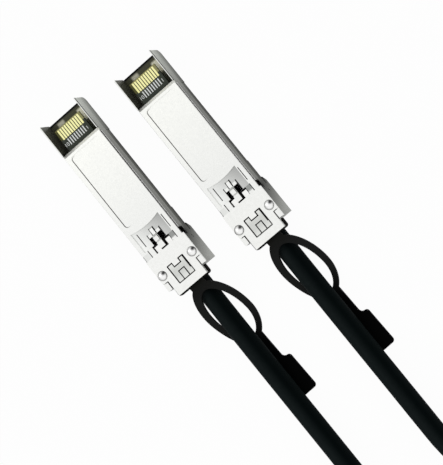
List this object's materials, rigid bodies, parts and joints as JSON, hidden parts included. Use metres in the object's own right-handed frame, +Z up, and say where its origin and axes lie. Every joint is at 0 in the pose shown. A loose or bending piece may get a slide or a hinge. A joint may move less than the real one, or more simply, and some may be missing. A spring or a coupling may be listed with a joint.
{
  "type": "direct attach copper cable",
  "caption": "Short copper network cable with a pluggable metal plug and black pull tab at each end, the spare length lying in a strapped coil.",
  "frame": {"origin": "under the middle of the two plugs' common box, on the surface they lie on", "axes": "+Y towards the connector ends, +Z up out of the latch faces, +X from plug a to plug b"},
  "size_m": [0.0808, 0.2474, 0.0142],
  "materials": {
    "shell_metal": "nickel-plated die-cast zinc, satin",
    "plate_metal": "stamped sheet, satin",
    "rivet_metal": "polished",
    "spring_steel": "drawn wire",
    "tab_plastic": "moulded, satin black",
    "card_laminate": "dark solder mask",
    "contact_gold": "gold flash",
    "chip_plastic": "moulded",
    "capacitor_ceramic": "plain",
    "pair_shield": "foil wrap",
    "ferrule_metal": "crimped",
    "sleeve_rubber": "shrunk sleeve",
    "cable_jacket": "satin black jacket",
    "tie_fabric": "woven strap"
  },
  "bodies": {
    "cable_assembly": {"face_shell_a": "shell_metal", "back_shell_a": "shell_metal", "cover_plate_a": "plate_metal", "cover_rivets_a": "rivet_metal", "return_spring_a": "spring_steel", "paddle_card_a": "card_laminate", "contact_pads_a": "contact_gold", "memory_chip_a": "chip_plastic", "coupling_capacitors_a": "capacitor_ceramic", "transmit_pair_a": "pair_shield", "receive_pair_a": "pair_shield", "crimp_ferrule_a": "ferrule_metal", "strain_sleeve_a": "sleeve_rubber", "jacket_end_a": "cable_jacket", "face_shell_b": "shell_metal", "back_shell_b": "shell_metal", "cover_plate_b": "plate_metal", "cover_rivets_b": "rivet_metal", "return_spring_b": "spring_steel", "paddle_card_b": "card_laminate", "contact_pads_b": "contact_gold", "memory_chip_b": "chip_plastic", "coupling_capacitors_b": "capacitor_ceramic", "transmit_pair_b": "pair_shield", "receive_pair_b": "pair_shield", "crimp_ferrule_b": "ferrule_metal", "strain_sleeve_b": "sleeve_rubber", "jacket_end_b": "cable_jacket", "cable_run_a": "cable_jacket", "cable_run_b": "cable_jacket", "cable_coil": "cable_jacket", "coil_tie": "tie_fabric"},
    "release_a": {"latch_slider_a": "plate_metal", "pull_tab_a": "tab_plastic"},
    "release_b": {"latch_slider_b": "plate_metal", "pull_tab_b": "tab_plastic"}
  },
  "joints": [
    {"name": "release_a_slide", "type": "slide", "parent": "cable_assembly", "child": "release_a", "axis": [0, -1, 0], "range_m": [0, 0.002], "stiffness_N_per_m": 1000, "springref_m": -0.002, "deforming": ["return_spring_a"]},
    {"name": "release_b_slide", "type": "slide", "parent": "cable_assembly", "child": "release_b", "axis": [0, -1, 0], "range_m": [0, 0.002], "stiffness_N_per_m": 1000, "springref_m": -0.002, "deforming": ["return_spring_b"]}
  ]
}
